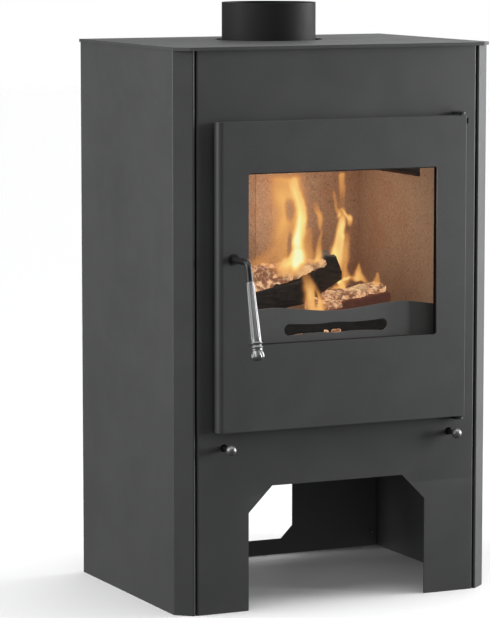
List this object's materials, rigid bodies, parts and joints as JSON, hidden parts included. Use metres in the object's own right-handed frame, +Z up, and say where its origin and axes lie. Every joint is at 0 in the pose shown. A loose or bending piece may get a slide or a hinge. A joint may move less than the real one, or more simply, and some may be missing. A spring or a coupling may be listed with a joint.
{
  "type": "wood burning stove",
  "caption": "Free-standing sheet-steel wood stove with glazed door, brick-lined firebox, air slides, ash pan, top flue collar and open log store.",
  "frame": {"origin": "centre of the bounding box on the floor", "axes": "+Z up along the flue, -Y towards the door side, +X to the hinge side of the door"},
  "size_m": [0.542, 0.501, 0.927],
  "materials": {
    "casing_paint": "satin heat-resistant paint",
    "bare_steel": "matte black heat-resistant paint",
    "firebrick": "matte",
    "cast_iron": "rough",
    "guard_steel": "satin",
    "pan_steel": "brushed",
    "black_steel": "satin black",
    "chrome": "polished",
    "zinc": "zinc plated",
    "glass": "clear ceramic glass",
    "rope": "woven glass fibre"
  },
  "bodies": {
    "stove": {"left_side_panel": "casing_paint", "right_side_panel": "casing_paint", "front_panel": "casing_paint", "rear_panel": "casing_paint", "top_plate": "casing_paint", "log_store_ceiling": "bare_steel", "ceiling_brackets": "bare_steel", "bracket_screws": "zinc", "rear_panel_screws": "zinc", "firebox_front": "bare_steel", "firebox_left_wall": "bare_steel", "firebox_right_wall": "bare_steel", "firebox_back_wall": "bare_steel", "firebox_floor": "bare_steel", "firebox_top": "bare_steel", "left_support_rail": "bare_steel", "right_support_rail": "bare_steel", "flue_flange": "casing_paint", "flue_collar": "casing_paint", "left_side_brick": "firebrick", "right_side_brick": "firebrick", "left_back_brick": "firebrick", "right_back_brick": "firebrick", "left_floor_brick": "firebrick", "right_floor_brick": "firebrick", "rear_floor_brick": "firebrick", "hearth_shelf": "bare_steel", "grate": "cast_iron", "baffle_plate": "firebrick", "baffle_rests": "bare_steel", "log_guard": "guard_steel", "primary_air_box": "bare_steel", "secondary_air_box": "bare_steel", "airwash_riser": "bare_steel", "airwash_bar": "bare_steel", "ash_pan_runners": "bare_steel", "hinge_lugs": "casing_paint", "hinge_pins": "zinc"},
    "door": {"door_panel": "casing_paint", "seal_channel": "bare_steel", "rope_seal": "rope", "door_glass": "glass", "glass_gasket": "rope", "glass_clips": "zinc", "glass_screws": "zinc", "hinge_blocks": "bare_steel", "handle_bush": "black_steel"},
    "handle": {"handle_rod": "black_steel", "handle_grip": "chrome", "grip_cap": "chrome", "latch_tongue": "zinc", "latch_nut": "zinc"},
    "primary_control": {"primary_rod": "black_steel", "primary_knob": "chrome", "primary_damper": "zinc"},
    "secondary_control": {"secondary_rod": "black_steel", "secondary_knob": "chrome", "secondary_damper": "zinc"},
    "ash_drawer": {"ash_pan": "pan_steel"}
  },
  "joints": [
    {"name": "door_hinge", "type": "hinge", "parent": "stove", "child": "door", "pos_m": [0.206, -0.14797, 0.51925], "axis": [0, 0, 1], "range_deg": [0, 115]},
    {"name": "handle_turn", "type": "hinge", "parent": "door", "child": "handle", "pos_m": [-0.187, -0.13847, 0.548], "axis": [0, 1, 0], "range_deg": [0, 85]},
    {"name": "primary_air", "type": "slide", "parent": "stove", "child": "primary_control", "axis": [0, -1, 0], "range_m": [0, 0.025]},
    {"name": "secondary_air", "type": "slide", "parent": "stove", "child": "secondary_control", "axis": [0, -1, 0], "range_m": [0, 0.025]},
    {"name": "ash_pan_slide", "type": "slide", "parent": "stove", "child": "ash_drawer", "axis": [0, -1, 0], "range_m": [0, 0.038]}
  ]
}
